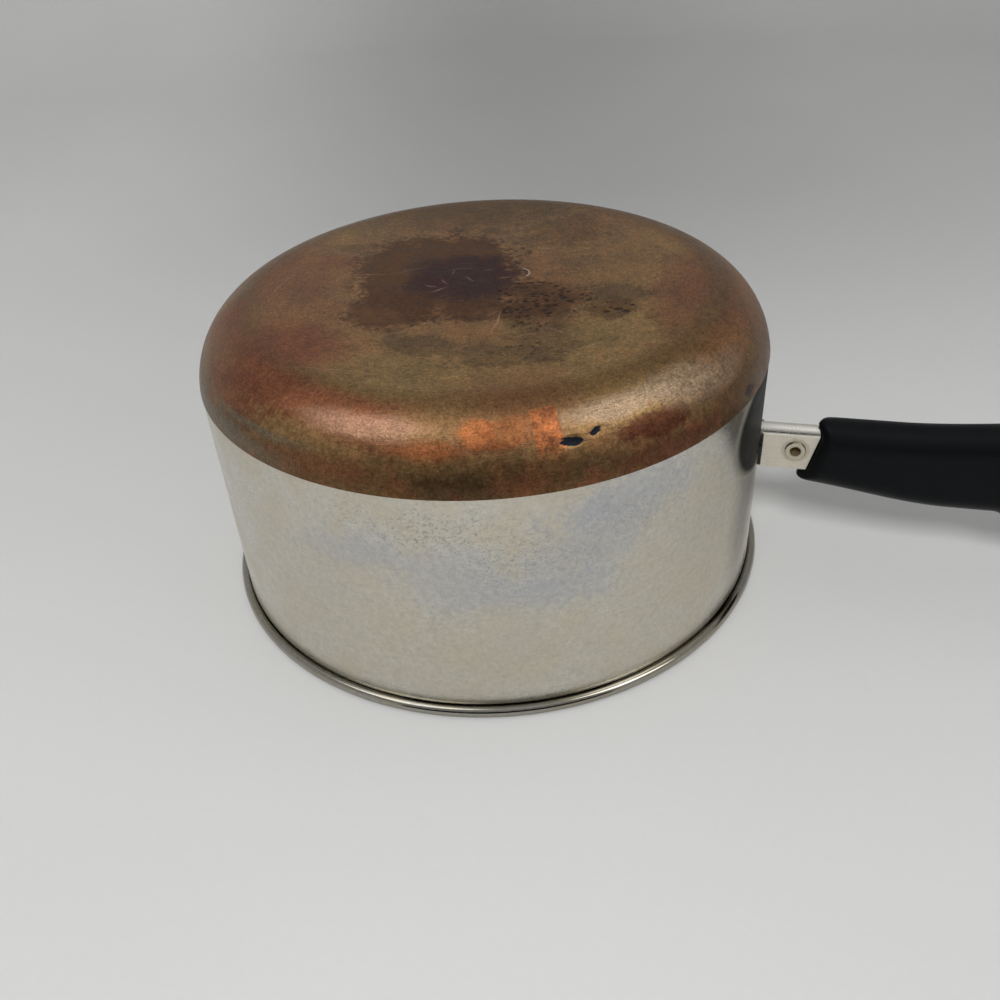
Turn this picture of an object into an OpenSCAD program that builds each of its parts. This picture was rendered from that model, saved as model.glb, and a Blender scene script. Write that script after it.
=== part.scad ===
// Long-handled saucepan with a copper-clad base, standing upside down on its rolled rim.
// Origin: centre of the rim plane.  +Z runs up from the rim to the base, the handle lies along +X.

/* [Pot body] */
// Outer diameter of the straight wall
wall_d = 200; // [120:1:300]
// Overall height from the rim plane to the outside of the base
pot_h = 108; // [70:1:200]
// Thickness of the drawn steel sheet
sheet_t = 0.8; // [0.5:0.05:1.5]
// Outer radius of the drawn corner between wall and base
corner_r = 24; // [8:0.5:30]

/* [Rolled rim] */
// Outer diameter of the outward curl
curl_d = 4; // [3.2:0.1:6]
// Seam left between the end of the curl and the wall
seam_gap = 0.3; // [0.15:0.05:0.4]
// Depth that the standing edge of the curl is worn flat
rim_wear = 0.05; // [0.02:0.01:0.1]

/* [Copper base] */
// Thickness of the copper layer
copper_t = 0.35; // [0.2:0.05:1]
// Angle up the corner curve where the copper stops, from the wall's tangent line
copper_edge_a = 8; // [2:1:30]

/* [Handle bracket] */
// Height of the bracket's middle above the rim plane
handle_z = 50.9; // [40:0.1:80]
// Outer width of the folded channel
bracket_w = 6.2; // [5:0.1:10]
// Height of the folded channel
bracket_h = 16.6; // [13:0.1:26]
// Thickness of the bracket's sheet
bracket_t = 1.2; // [0.8:0.1:1.6]
// Width of each welded flange beside the channel
flange_w = 5.5; // [5:0.5:16]
// Distance that the flanges stop short of the bracket's top and foot
flange_inset = 3; // [0:0.5:3]
// Corner radius of the flanges
flange_corner_r = 2.5; // [1:0.5:5]
// Diameter of the spot-weld dimples
weld_d = 3; // [2:0.5:4]
// Depth of the spot-weld dimples
weld_depth = 0.2; // [0.1:0.05:0.5]

/* [Bracket rivet] */
// Distance of the rivet below the bracket's middle
rivet_drop = 0.6; // [0:0.1:2]
// Distance of the rivet from the wall
rivet_out = 12.5; // [10:0.5:16]
// Shank diameter
rivet_d = 5; // [3:0.1:6]
// Head diameter
rivet_head_d = 7.2; // [6:0.1:10]
// Head height
rivet_head_h = 0.7; // [0.4:0.1:1.5]
// Diameter of the hollow in the clinched end
rivet_hollow_d = 3.8; // [1.5:0.1:4]
// Depth of the hollow in the clinched end
rivet_hollow_h = 3.5; // [1:0.1:6]

/* [Tang] */
// Side clearance between the tang and the channel
tang_gap = 0.1; // [0.05:0.05:0.3]
// Part of the cheek left bare above and below the tang
tang_margin = 1.2; // [0.5:0.1:3]
// Distance that the tang runs past the rivet's centre towards the wall
tang_lead = 7.5; // [5:0.5:9]
// Distance from the wall to the far end of the tang
tang_reach = 96; // [80:1:110]
// Diameter of the holes that key the tang into the grip
key_hole_d = 5; // [3:0.5:6]

/* [Grip] */
// Gap between the rivet's head and the front face, at the bracket's middle
grip_gap = 3.4; // [2:0.1:8]
// Depth of the pocket that takes the bracket
pocket_depth = 13; // [8:0.5:20]
// Distance from the wall to the end of the tail
grip_reach = 178; // [160:1:230]
// Width of the grip
grip_w = 17; // [14:0.5:24]
// Lean of the front face from upright
front_lean = 14; // [0:1:25]
// Cover of the grip above the bracket's top
cover_top = 2.7; // [2:0.1:6]
// Cover of the grip below the bracket's foot, at the front
cover_foot = 4.3; // [2.5:0.1:10]
// Extra depth behind the front
belly = 7; // [0:0.5:12]
// Height of the raised rest on the belly
rest_h = 3; // [0:0.5:6]
// Lift of the tail
tail_lift = 6; // [0:0.5:10]
// Radius that rounds the front's upright edges
front_r = 5; // [2:0.5:5]
// Radius that rounds the front's top and bottom edges
front_edge_r = 1.8; // [1:0.1:5]
// Depth that the front face is dished between its top and bottom
front_dish = 2.5; // [0:0.1:3.5]
// Diameter of the hanging hole
hang_d = 8; // [4:0.5:9]
// Distance from the hanging hole's centre to the end of the tail
hang_back = 15; // [13:0.5:24]
// Clearance around the bracket in the grip's pocket
pocket_gap = 0.15; // [0.05:0.05:0.4]

/* [Hidden] */
$fn = 180;

wall_r = wall_d / 2;
steel_top = pot_h - copper_t;          // outside of the steel base
corner_z = steel_top - corner_r;       // where the wall turns into the corner
corner_x = wall_r - corner_r;          // where the corner meets the flat base
curl_r = curl_d / 2;
curl_x = wall_r - sheet_t + curl_r;    // centre of the curl: its inside is flush with the wall
curl_z = curl_r - rim_wear;
seam_a = acos((sheet_t - curl_r + seam_gap) / curl_r);

fold_r = bracket_w / 2;                // full-round fold along the top of the channel
bracket_top_z = handle_z + bracket_h / 2;
bracket_foot_z = handle_z - bracket_h / 2;
fold_z = bracket_top_z - fold_r;
cheek_mid_z = (bracket_foot_z + fold_z) / 2;
flange_h = bracket_h - 2 * flange_inset;
weld_step = flange_h / 4;              // weld dimples above and below the bracket's middle
weld_sphere_r = (pow(weld_d / 2, 2) + pow(weld_depth, 2)) / (2 * weld_depth);

rivet_x = wall_r + rivet_out;
rivet_z = handle_z - rivet_drop;
head_y = bracket_w / 2;

tang_w = bracket_w - 2 * (bracket_t + tang_gap);
tang_h = fold_z - bracket_foot_z - 2 * tang_margin;
key_holes = [0.5, 0.84];               // places along the tang, as shares of its reach

grip_r = grip_w / 2;
grip_start = rivet_out + rivet_head_d / 2 + grip_gap;
bracket_reach = grip_start + pocket_depth;
grip_span = grip_reach - grip_start;
grip_tail_x = wall_r + grip_reach;
hang_x = grip_tail_x - hang_back;

// ---------- shared helpers ----------

// Rises smoothly from 0 to 1 as u runs from 0 to 1.
function ease(u) = let (v = max(0, min(1, u))) v * v * (3 - 2 * v);

// Ring between two radii, kept only between angles a0 and a1 (at most 180 degrees apart).
module ring_sector(r_in, r_out, a0, a1) {
    far = 3 * r_out;
    mid = (a0 + a1) / 2;
    intersection() {
        difference() {
            circle(r = r_out);
            circle(r = r_in);
        }
        polygon([
            [0, 0],
            far * [cos(a0), sin(a0)],
            far * [cos(mid), sin(mid)],
            far * [cos(a1), sin(a1)]
        ]);
    }
}

// ---------- pot body: one drawn steel shell with its rolled rim ----------

module curl_section() {
    translate([curl_x, curl_z])
        difference() {
            union() {
                ring_sector(curl_r - sheet_t, curl_r, 180, 300);
                ring_sector(curl_r - sheet_t, curl_r, 300, 360 + seam_a - 60);
                ring_sector(curl_r - sheet_t, curl_r, seam_a - 60, seam_a);
            }
            translate([-2 * curl_r, -curl_z - curl_d])
                square([2 * curl_d, curl_d]);
        }
}

module shell_section() {
    curl_section();
    translate([wall_r - sheet_t, curl_z])
        square([sheet_t, corner_z - curl_z]);
    translate([corner_x, corner_z])
        ring_sector(corner_r - sheet_t, corner_r, 0, 90);
    translate([0, steel_top - sheet_t])
        square([corner_x, sheet_t]);
}

module pot_body() {
    color([0.68, 0.67, 0.64])
        rotate_extrude()
            shell_section();
}

// ---------- copper base: a thin cap over the base and the corner ----------

module copper_section() {
    translate([corner_x, corner_z])
        ring_sector(corner_r, corner_r + copper_t, copper_edge_a, 90);
    translate([0, steel_top])
        square([corner_x, copper_t]);
}

module copper_base() {
    color([0.48, 0.33, 0.22])
        rotate_extrude()
            copper_section();
}

// ---------- handle bracket: one folded channel with two welded flanges ----------

// Outline of the channel seen along the handle, grown by gap: flat cheeks under a full-round fold.
module channel_outline(gap = 0) {
    half = fold_r + gap;
    translate([0, fold_z])
        circle(r = half);
    translate([-half, bracket_foot_z - gap])
        square([2 * half, fold_z - bracket_foot_z + gap]);
}

// Hollow inside the channel, open along the foot.
module channel_bore() {
    half = fold_r - bracket_t;
    translate([0, fold_z])
        circle(r = half);
    translate([-half, bracket_foot_z - bracket_t])
        square([2 * half, fold_z - bracket_foot_z + bracket_t]);
}

// Stands a 2D outline, drawn in width and height, along the handle from x0 to x1.
module along_handle(x0, x1) {
    translate([x0, 0, 0])
        rotate([90, 0, 90])
            linear_extrude(x1 - x0)
                children();
}

module flange_outline() {
    reach = bracket_w / 2 + flange_w;
    inset_y = reach - flange_corner_r;
    inset_z = flange_h / 2 - flange_corner_r;
    translate([0, handle_z]) {
        for (sy = [-1, 1], sz = [-1, 1])
            translate([sy * inset_y, sz * inset_z])
                circle(r = flange_corner_r);
        square([2 * reach, 2 * inset_z], center = true);
        square([2 * inset_y, flange_h], center = true);
    }
}

module flanges() {
    difference() {
        intersection() {
            along_handle(wall_r / 2, wall_r + 2 * bracket_t)
                flange_outline();
            cylinder(r = wall_r + bracket_t, h = pot_h);
        }
        weld_dimples();
    }
}

module weld_dimples() {
    weld_y = (bracket_w + flange_w) / 2;
    weld_a = asin(weld_y / wall_r);
    for (side = [-1, 1], level = [-1, 1])
        rotate([0, 0, side * weld_a])
            translate([wall_r + bracket_t - weld_depth + weld_sphere_r, 0, handle_z + level * weld_step])
                sphere(r = weld_sphere_r);
}

module handle_bracket() {
    color([0.78, 0.75, 0.70])
        difference() {
            union() {
                flanges();
                along_handle(wall_r / 2, wall_r + bracket_reach)
                    channel_outline();
            }
            along_handle(wall_r / 4, wall_r + bracket_reach + bracket_t)
                channel_bore();
            cylinder(r = wall_r, h = pot_h);
            rivet_hole();
        }
}

// ---------- rivet through the bracket's cheeks and the tang ----------

module rivet_hole() {
    translate([rivet_x, 0, rivet_z])
        rotate([90, 0, 0])
            cylinder(d = rivet_d, h = 3 * bracket_w, center = true);
}

// Half section: plain head at the bottom, clinched hollow end at the top.
module rivet_section() {
    shank_r = rivet_d / 2;
    edge_r = rivet_head_h / 2;
    difference() {
        union() {
            translate([0, -head_y])
                square([shank_r, 2 * head_y]);
            for (end = [-head_y - rivet_head_h, head_y]) {
                translate([0, end])
                    square([rivet_head_d / 2 - edge_r, rivet_head_h]);
                translate([rivet_head_d / 2 - edge_r, end + edge_r])
                    circle(r = edge_r);
            }
        }
        translate([0, head_y + rivet_head_h - rivet_hollow_h])
            square([rivet_hollow_d / 2, rivet_hollow_h + 1]);
        translate([-rivet_head_d, -2 * rivet_head_d])
            square([rivet_head_d, 4 * rivet_head_d]);
    }
}

module bracket_rivet() {
    color([0.62, 0.60, 0.55])
        translate([rivet_x, 0, rivet_z])
            rotate([90, 0, 0])
                rotate_extrude()
                    rivet_section();
}

// ---------- tang: flat steel bar from the channel into the grip ----------

module handle_tang() {
    color([0.55, 0.55, 0.55])
        difference() {
            translate([rivet_x - tang_lead, -tang_w / 2, cheek_mid_z - tang_h / 2])
                cube([tang_reach - rivet_out + tang_lead, tang_w, tang_h]);
            rivet_hole();
            for (share = key_holes)
                translate([wall_r + share * tang_reach, 0, cheek_mid_z])
                    rotate([90, 0, 0])
                        cylinder(d = key_hole_d, h = 3 * tang_w, center = true);
        }
}

// ---------- grip: one moulded handle, lofted through upright stations ----------

// Distances out from the wall where the outline changes, as shares of the grip's span.
belly_end = 0.34;
rest_start = 0.39;
rest_ramp = 0.045;
rest_end = 0.59;
rest_fade = 0.11;
tail_turn = 0.6;
tail_r = 16;                           // length over which the tail closes, seen from the side
arc_steps = 12;                        // points on each round end of a section
front_steps = 5;
body_steps = 34;
tail_steps = 8;

function along(x) = (x - wall_r - grip_start) / grip_span;
function grip_top(x) = bracket_top_z + cover_top + tail_lift * ease((along(x) - 0.17) / 0.5);
function rest(x) = rest_h * ease((along(x) - rest_start) / rest_ramp)
    * (1 - ease((along(x) - rest_end) / rest_fade));
function grip_foot(x) = bracket_foot_z - cover_foot - belly * ease((along(x) + 0.05) / belly_end)
    - rest(x) + tail_lift * ease((along(x) - tail_turn) / 0.3);

// Stadium section at station x: half width b, foot z0, top z1, leaning by shear, its ends
// brought forward by dish.
function section(x, b, z0, z1, shear, dish) = [
    for (k = [0 : 2 * arc_steps + 1])
        let (
            upper = k <= arc_steps,
            a = upper ? 180 * k / arc_steps : 180 + 180 * (k - arc_steps - 1) / arc_steps,
            z = (upper ? z1 - b : z0 + b) + b * sin(a)
        )
        [x + shear * (z - handle_z) - dish * pow((2 * z - z0 - z1) / (z1 - z0), 6), b * cos(a), z]
];

// Front stations round the front edges, body stations follow the outline, tail stations close it.
front_x = wall_r + grip_start;
body_x0 = front_x + front_r;
body_x1 = grip_tail_x - tail_r;
front_shear = tan(front_lean);

function lean(x) = front_shear * (1 - ease((x - front_x) / (0.3 * grip_span)));
function dish(x) = front_dish * (1 - ease((x - front_x) / (0.12 * grip_span)));
function round_inset(r, into) = r - sqrt(r * r - pow(max(0, r - into), 2));

stations = concat(
    [for (k = [0 : front_steps - 1])
        let (
            into = front_r * (1 - cos(90 * k / front_steps)),
            x = front_x + into,
            inset = round_inset(front_edge_r, into)
        )
        section(x, grip_r - round_inset(front_r, into), grip_foot(x) + inset,
            grip_top(x) - inset, lean(x), dish(x))],
    [for (k = [0 : body_steps])
        let (x = body_x0 + (body_x1 - body_x0) * k / body_steps)
        section(x, grip_r, grip_foot(x), grip_top(x), lean(x), dish(x))],
    [for (k = [1 : tail_steps])
        let (
            a = 84 * k / tail_steps,
            x = body_x1 + tail_r * sin(a) / sin(84),
            mid = (grip_top(x) + grip_foot(x)) / 2,
            half = (grip_top(x) - grip_foot(x)) / 2 * cos(a),
            into_end = max(0, (x - grip_tail_x + grip_r) / grip_r),
            b = grip_r * sqrt(max(0.02, 1 - pow(into_end, 2)))
        )
        section(x, min(b, half), mid - half, mid + half, 0, 0)]
);

module grip_solid() {
    n = len(stations[0]);
    m = len(stations);
    points = [for (s = stations, p = s) p];
    sides = [for (i = [0 : m - 2], k = [0 : n - 1], half = [0, 1])
        let (a = i * n + k, b = i * n + (k + 1) % n)
        half == 0 ? [a, a + n, b] : [b, a + n, b + n]];
    front = [[for (k = [0 : n - 1]) k]];
    tail = [[for (k = [n - 1 : -1 : 0]) (m - 1) * n + k]];
    polyhedron(points, concat(sides, front, tail), convexity = 6);
}

module grip() {
    pocket_end = wall_r + bracket_reach + pocket_gap;
    hang_z = (grip_top(hang_x) + grip_foot(hang_x)) / 2;
    color([0.07, 0.07, 0.08])
        difference() {
            grip_solid();
            along_handle(wall_r, pocket_end)
                channel_outline(pocket_gap);
            handle_tang();
            translate([hang_x, 0, hang_z])
                rotate([90, 0, 0])
                    cylinder(d = hang_d, h = 2 * grip_w, center = true);
        }
}

pot_body();
copper_base();
handle_bracket();
bracket_rivet();
handle_tang();
grip();
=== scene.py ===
"""Burnt saucepan standing upside down on its rolled rim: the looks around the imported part."""
import math
from types import SimpleNamespace

import bpy
import numpy as np
from mathutils import Matrix, Vector


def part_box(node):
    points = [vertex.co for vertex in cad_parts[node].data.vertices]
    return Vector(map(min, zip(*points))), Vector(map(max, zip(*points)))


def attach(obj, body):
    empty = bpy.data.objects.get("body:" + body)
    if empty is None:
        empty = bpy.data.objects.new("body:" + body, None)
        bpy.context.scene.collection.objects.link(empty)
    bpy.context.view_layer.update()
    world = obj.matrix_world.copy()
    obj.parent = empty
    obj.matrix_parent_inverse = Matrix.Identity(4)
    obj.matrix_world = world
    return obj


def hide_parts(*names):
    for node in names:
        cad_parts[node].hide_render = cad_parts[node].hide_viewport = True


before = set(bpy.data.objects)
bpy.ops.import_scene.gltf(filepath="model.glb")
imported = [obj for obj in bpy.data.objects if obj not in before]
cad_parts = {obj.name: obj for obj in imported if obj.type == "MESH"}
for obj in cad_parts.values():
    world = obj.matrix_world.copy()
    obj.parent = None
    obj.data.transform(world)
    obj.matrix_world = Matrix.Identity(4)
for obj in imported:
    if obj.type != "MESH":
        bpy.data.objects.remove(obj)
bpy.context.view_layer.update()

MM = 0.001

# ---------- sizes in millimetres, taken from the frame where it holds them ----------


def node_box(node):
    """Lowest and highest corner of a CAD node in millimetres."""
    low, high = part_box(node)
    return Vector(low) / MM, Vector(high) / MM


POT_LOW, POT_HIGH = node_box("pot_body")
COPPER_LOW, COPPER_HIGH = node_box("copper_base")
BRACKET_LOW, BRACKET_HIGH = node_box("handle_bracket")
RIVET_LOW, RIVET_HIGH = node_box("bracket_rivet")
GRIP_HALF_W = node_box("grip")[1].y

SHEET = 0.8                                 # drawn steel sheet
CURL_R = 2.0                                # outside of the rolled rim's curl
RIM_WEAR = 0.05                             # worn flat under the curl
SEAM = 0.3                                  # gap between the curl's end and the wall
CORNER_R = 24.0                             # outside of the steel corner
PAN_H = COPPER_HIGH.z
RIM_R = min(-POT_LOW.x, POT_HIGH.x, -POT_LOW.y, POT_HIGH.y)
WALL_R = RIM_R - 2 * CURL_R + SHEET
STEEL_TOP = POT_HIGH.z
COPPER = PAN_H - STEEL_TOP
CORNER_X = WALL_R - CORNER_R
CORNER_Z = STEEL_TOP - CORNER_R
CORNER_OUT = CORNER_R + COPPER
COPPER_EDGE = math.asin((COPPER_LOW.z - CORNER_Z) / CORNER_R)

BEAD_TOP = (4.2, 5.5)                       # where the polished bead gives way to the worn wall
RIVET_X = (RIVET_LOW.x + RIVET_HIGH.x) / 2
RIVET_Z = (RIVET_LOW.z + RIVET_HIGH.z) / 2
FLANGE_REACH = 2.8                          # from the bracket's root to just past its flanges

HANDLE_TURN = math.radians(15.46)           # the handle's turn from the viewer's right

# ---------- mesh helpers ----------


def add_mesh(name, points, faces, smooth_below=35):
    """New object from points in millimetres, shaded smooth except across sharper edges."""
    mesh = bpy.data.meshes.new(name)
    mesh.from_pydata([tuple(c * MM for c in p) for p in points], [], faces)
    mesh.validate()
    mesh.polygons.foreach_set("use_smooth", [True] * len(mesh.polygons))
    mesh.set_sharp_from_angle(angle=math.radians(smooth_below))
    obj = bpy.data.objects.new(name, mesh)
    bpy.context.scene.collection.objects.link(obj)
    return obj


def arc(cx, cz, r, start, end, steps):
    """Points of an arc in the (radius, height) plane, angles in degrees."""
    angles = [math.radians(start + (end - start) * k / steps) for k in range(steps + 1)]
    return [(cx + r * math.cos(a), cz + r * math.sin(a)) for a in angles]


def line(a, b, steps):
    """Points after a up to b, evenly spaced."""
    return [(a[0] + (b[0] - a[0]) * k / steps, a[1] + (b[1] - a[1]) * k / steps)
            for k in range(1, steps + 1)]


def lathe(name, profile, segments, smooth_below=35):
    """Turns a (radius, height) outline round Z. Ends on the axis become single points."""
    points, rings = [], []
    turns = [2 * math.pi * k / segments for k in range(segments)]
    for r, z in profile:
        if r < 1e-6:
            rings.append([len(points)])
            points.append((0.0, 0.0, z))
        else:
            rings.append(list(range(len(points), len(points) + segments)))
            points += [(r * math.cos(a), r * math.sin(a), z) for a in turns]
    faces = []
    for lower, upper in zip(rings, rings[1:]):
        for k in range(segments):
            n = (k + 1) % segments
            if len(lower) == 1:
                faces.append((lower[0], upper[n], upper[k]))
            elif len(upper) == 1:
                faces.append((lower[k], lower[n], upper[0]))
            else:
                faces.append((lower[k], lower[n], upper[n], upper[k]))
    return add_mesh(name, points, faces, smooth_below)


def loft(name, sections, smooth_below=35):
    """Skins closed sections of equal point count and caps both ends."""
    n = len(sections[0])
    points = [p for s in sections for p in s]
    faces = [(i * n + k, i * n + (k + 1) % n, (i + 1) * n + (k + 1) % n, (i + 1) * n + k)
             for i in range(len(sections) - 1) for k in range(n)]
    last = (len(sections) - 1) * n
    faces.append(tuple(range(n - 1, -1, -1)))
    faces.append(tuple(range(last, last + n)))
    return add_mesh(name, points, faces, smooth_below)


def place(obj, material, node):
    """Puts a finished piece in the frame in place of its CAD node."""
    obj.data.materials.clear()
    obj.data.materials.append(material)
    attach(obj, "root")
    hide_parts(node)


# ---------- colour and node helpers ----------


def srgb(r, g, b):
    """Scene-linear colour from 0-255 screen values."""
    def linear(v):
        v /= 255
        return v / 12.92 if v <= 0.04045 else ((v + 0.055) / 1.055) ** 2.4
    return (linear(r), linear(g), linear(b), 1.0)


class Paint:
    """One material under construction. Sockets and plain numbers pass through its methods."""

    def __init__(self, name):
        self.material = bpy.data.materials.new(name)
        self.material.use_nodes = True
        self.tree = self.material.node_tree
        self.tree.nodes.clear()
        self.shader = self.node("ShaderNodeBsdfPrincipled")
        out = self.node("ShaderNodeOutputMaterial")
        self.tree.links.new(self.shader.outputs[0], out.inputs["Surface"])
        coords = self.node("ShaderNodeTexCoord")
        facing = self.node("ShaderNodeMapping")
        facing.inputs["Rotation"].default_value = (0, 0, -HANDLE_TURN)
        facing.inputs["Scale"].default_value = (1 / MM,) * 3
        self.tree.links.new(coords.outputs["Object"], facing.inputs["Vector"])
        self.where = facing.outputs[0]      # millimetres, turned so that the viewer is at -Y
        along = self.node("ShaderNodeMapping")
        along.inputs["Scale"].default_value = (1 / MM,) * 3
        self.tree.links.new(coords.outputs["Object"], along.inputs["Vector"])
        self.row = along.outputs[0]         # millimetres, X out along the handle

    def node(self, kind, **settings):
        made = self.tree.nodes.new(kind)
        for key, value in settings.items():
            setattr(made, key, value)
        return made

    def feed(self, socket, value):
        if isinstance(value, bpy.types.NodeSocket):
            self.tree.links.new(value, socket)
        else:
            socket.default_value = value

    def math(self, operation, a, b=0.0):
        made = self.node("ShaderNodeMath", operation=operation)
        for socket, value in zip(made.inputs, (a, b)):
            self.feed(socket, value)
        return made.outputs[0]

    def chain(self, operation, first, *others):
        """One operation through all the values, left to right."""
        for other in others:
            first = self.math(operation, first, other)
        return first

    def times(self, *values):
        return self.chain("MULTIPLY", *values)

    def plus(self, *values):
        return self.chain("ADD", *values)

    def minus(self, *values):
        return self.chain("SUBTRACT", *values)

    def highest(self, *values):
        return self.chain("MAXIMUM", *values)

    def step(self, value, low, high, out_low=0.0, out_high=1.0):
        """Smooth step of value from low to high."""
        made = self.node("ShaderNodeMapRange", interpolation_type="SMOOTHSTEP")
        for key, number in (("Value", value), ("From Min", low), ("From Max", high),
                            ("To Min", out_low), ("To Max", out_high)):
            self.feed(made.inputs[key], number)
        return made.outputs[0]

    def mix(self, share, a, b, blend="MIX"):
        made = self.node("ShaderNodeMix", data_type="RGBA", blend_type=blend)
        self.feed(made.inputs["Factor"], share)
        self.feed(made.inputs["A"], a)
        self.feed(made.inputs["B"], b)
        return made.outputs["Result"]

    def noise(self, size, detail=4.0, rough=0.55, where=None, colour=False, seed=0.0):
        """Noise whose largest grain is about size millimetres, from 0 to 1."""
        made = self.node("ShaderNodeTexNoise", noise_dimensions="4D")
        self.feed(made.inputs["Vector"], self.where if where is None else where)
        made.inputs["W"].default_value = seed
        made.inputs["Scale"].default_value = 1 / size
        made.inputs["Detail"].default_value = detail
        made.inputs["Roughness"].default_value = rough
        return made.outputs["Color" if colour else "Fac"]

    def vector(self, operation, a, b=(0, 0, 0), scale=1.0):
        made = self.node("ShaderNodeVectorMath", operation=operation)
        self.feed(made.inputs[0], a)
        self.feed(made.inputs[1], b)
        if operation == "SCALE":
            made.inputs["Scale"].default_value = scale
        return made.outputs["Value" if operation == "LENGTH" else "Vector"]

    def warp(self, where, size, amount, seed):
        """Where, shaken by up to about amount in grains of size."""
        shake = self.noise(size, detail=3.0, where=where, colour=True, seed=seed)
        shake = self.vector("SUBTRACT", shake, (0.5, 0.5, 0.5))
        shake = self.vector("SCALE", shake, scale=2 * amount)
        return self.vector("ADD", where, shake)

    def join(self, x, y, z=0.0):
        made = self.node("ShaderNodeCombineXYZ")
        for socket, value in zip(made.inputs, (x, y, z)):
            self.feed(socket, value)
        return made.outputs[0]

    def split(self, value):
        made = self.node("ShaderNodeSeparateXYZ")
        self.feed(made.inputs[0], value)
        return made.outputs

    def stretch(self, where, turn, scale):
        """Where, turned by degrees about Z and then scaled."""
        made = self.node("ShaderNodeMapping")
        self.feed(made.inputs["Vector"], where)
        made.inputs["Rotation"].default_value = (0, 0, math.radians(turn))
        return self.vector("MULTIPLY", made.outputs[0], scale)

    def spot(self, where, x, y, rx, ry, turn, edge, torn=0.0):
        """Soft ellipse: 1 inside, 0 outside. Edge is the width of its fade, torn shifts it."""
        made = self.node("ShaderNodeMapping", vector_type="TEXTURE")
        self.feed(made.inputs["Vector"], where)
        made.inputs["Location"].default_value = (x, y, 0)
        made.inputs["Rotation"].default_value = (0, 0, math.radians(turn))
        made.inputs["Scale"].default_value = (rx, ry, 1e6)
        reach = self.math("ADD", self.vector("LENGTH", made.outputs[0]), torn)
        return self.step(reach, 1 + edge, 1 - edge)

    def streaks(self, where, turn, length, width, low, high, seed):
        """Thin straight scratches along one direction, from 0 to 1."""
        drawn = self.stretch(where, turn, (1 / length, 1 / width, 1 / width))
        return self.step(self.noise(1.0, detail=1.0, where=drawn, seed=seed), low, high)

    def scratches(self, where, lines):
        """Streaks in all the directions of a table."""
        return self.highest(*[self.streaks(where, *line) for line in lines])

    def attribute(self, name):
        return self.node("ShaderNodeAttribute", attribute_name=name).outputs["Fac"]

    def bump(self, height, distance):
        """Normal over a relief that is distance millimetres deep."""
        made = self.node("ShaderNodeBump")
        made.inputs["Strength"].default_value = 1.0
        made.inputs["Distance"].default_value = distance * MM
        self.feed(made.inputs["Height"], height)
        return made.outputs[0]

    def finish(self, **inputs):
        for key, value in inputs.items():
            self.feed(self.shader.inputs[key.replace("_", " ")], value)
        return self.material


    def shade(self, colour, *shares):
        """Colour multiplied by every share."""
        total = self.times(*shares)
        return self.mix(1.0, colour, self.join(total, total, total), "MULTIPLY")


def round_coords(paint):
    """Azimuth in degrees, radius and height over the pan, the viewer at azimuth -90."""
    x, y, z = paint.split(paint.where)
    azimuth = paint.times(paint.math("ARCTAN2", y, x), math.degrees(1))
    return azimuth, paint.vector("LENGTH", paint.join(x, y)), z


# ---------- burnt copper ----------

OLIVE = srgb(172, 140, 92)
WARM = srgb(158, 116, 80)
RED_BROWN = srgb(146, 88, 62)
MAROON = srgb(104, 66, 38)
PURPLE = srgb(72, 42, 42)
SOOT = srgb(46, 32, 24)
ORANGE = srgb(190, 112, 66)
BRIGHT_ORANGE = srgb(212, 128, 76)
PALE_COPPER = srgb(214, 168, 138)
KHAKI_AND_HIGHLIGHT = srgb(190, 164, 138)
GREY_GREEN = srgb(128, 124, 106)
DARK_OLIVE = srgb(122, 96, 66)
# Burnt brown, also used for the painted dark reflection ring where the base bends.
BURNT_AND_DARK_REFLECTION = srgb(104, 74, 48)
WINE = srgb(100, 52, 38)
CHIP = srgb(30, 34, 42)
PIT_DARK = srgb(46, 27, 18)
BRIGHT_NICK = srgb(236, 208, 186)

# Stains on the flat base, with the entry at (0, 78) a broad darkening of its far side: x, y, half sizes,
# turn, edge softness, share, colour.
BASE_STAINS = (
    (-70, -5, 22, 60, 0, 0.6, 0.5, RED_BROWN),
    (-62, -48, 26, 18, -40, 0.4, 0.85, RED_BROWN),
    (70, -25, 14, 34, -12, 0.4, 0.6, RED_BROWN),
    (42, 12, 28, 34, 0, 0.6, 0.6, WARM),
    (-20, -62, 44, 14, 0, 0.5, 0.7, OLIVE),
    (0, 78, 70, 26, 0, 0.7, 0.95, DARK_OLIVE),
    (36, 40, 16, 12, 20, 0.6, 0.4, MAROON),
    (-14, 9, 30, 36, 8, 0.12, 0.9, MAROON),
    (-30, -18, 15, 14, 0, 0.2, 0.8, MAROON),
    (2, -24, 20, 8, -8, 0.25, 0.75, MAROON),
    (-46, 36, 9, 5, -20, 0.3, 0.7, DARK_OLIVE),
    (-52, 24, 9, 6, 0, 0.5, 0.5, RED_BROWN),
    (-6, 4, 20, 19, 10, 0.25, 0.95, PURPLE),
    (8, 45, 6, 2.5, -20, 0.5, 0.7, DARK_OLIVE),
    (24, 46, 5, 4, 0, 0.6, 0.6, DARK_OLIVE),
    (-5, 55, 2.5, 11, 5, 0.6, 0.5, DARK_OLIVE),
    (-3, 97, 12, 3, 0, 0.6, 0.5, DARK_OLIVE),
    (22, -16, 15, 11, -25, 0.35, 0.8, MAROON),
    (46, -18, 12, 8, 10, 0.4, 0.75, DARK_OLIVE),
    (42, -29, 9, 6, 0, 0.4, 0.65, MAROON),
    (18, -32, 11, 10, 0, 0.4, 0.6, MAROON),
    (18, -48, 9, 13, 0, 0.5, 0.6, DARK_OLIVE),
    (-24, -42, 12, 5, -5, 0.35, 0.75, DARK_OLIVE),
    (-8, -50, 24, 4, -8, 0.4, 0.65, DARK_OLIVE),
    (6, -58, 16, 5, 0, 0.4, 0.55, DARK_OLIVE),
)
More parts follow.
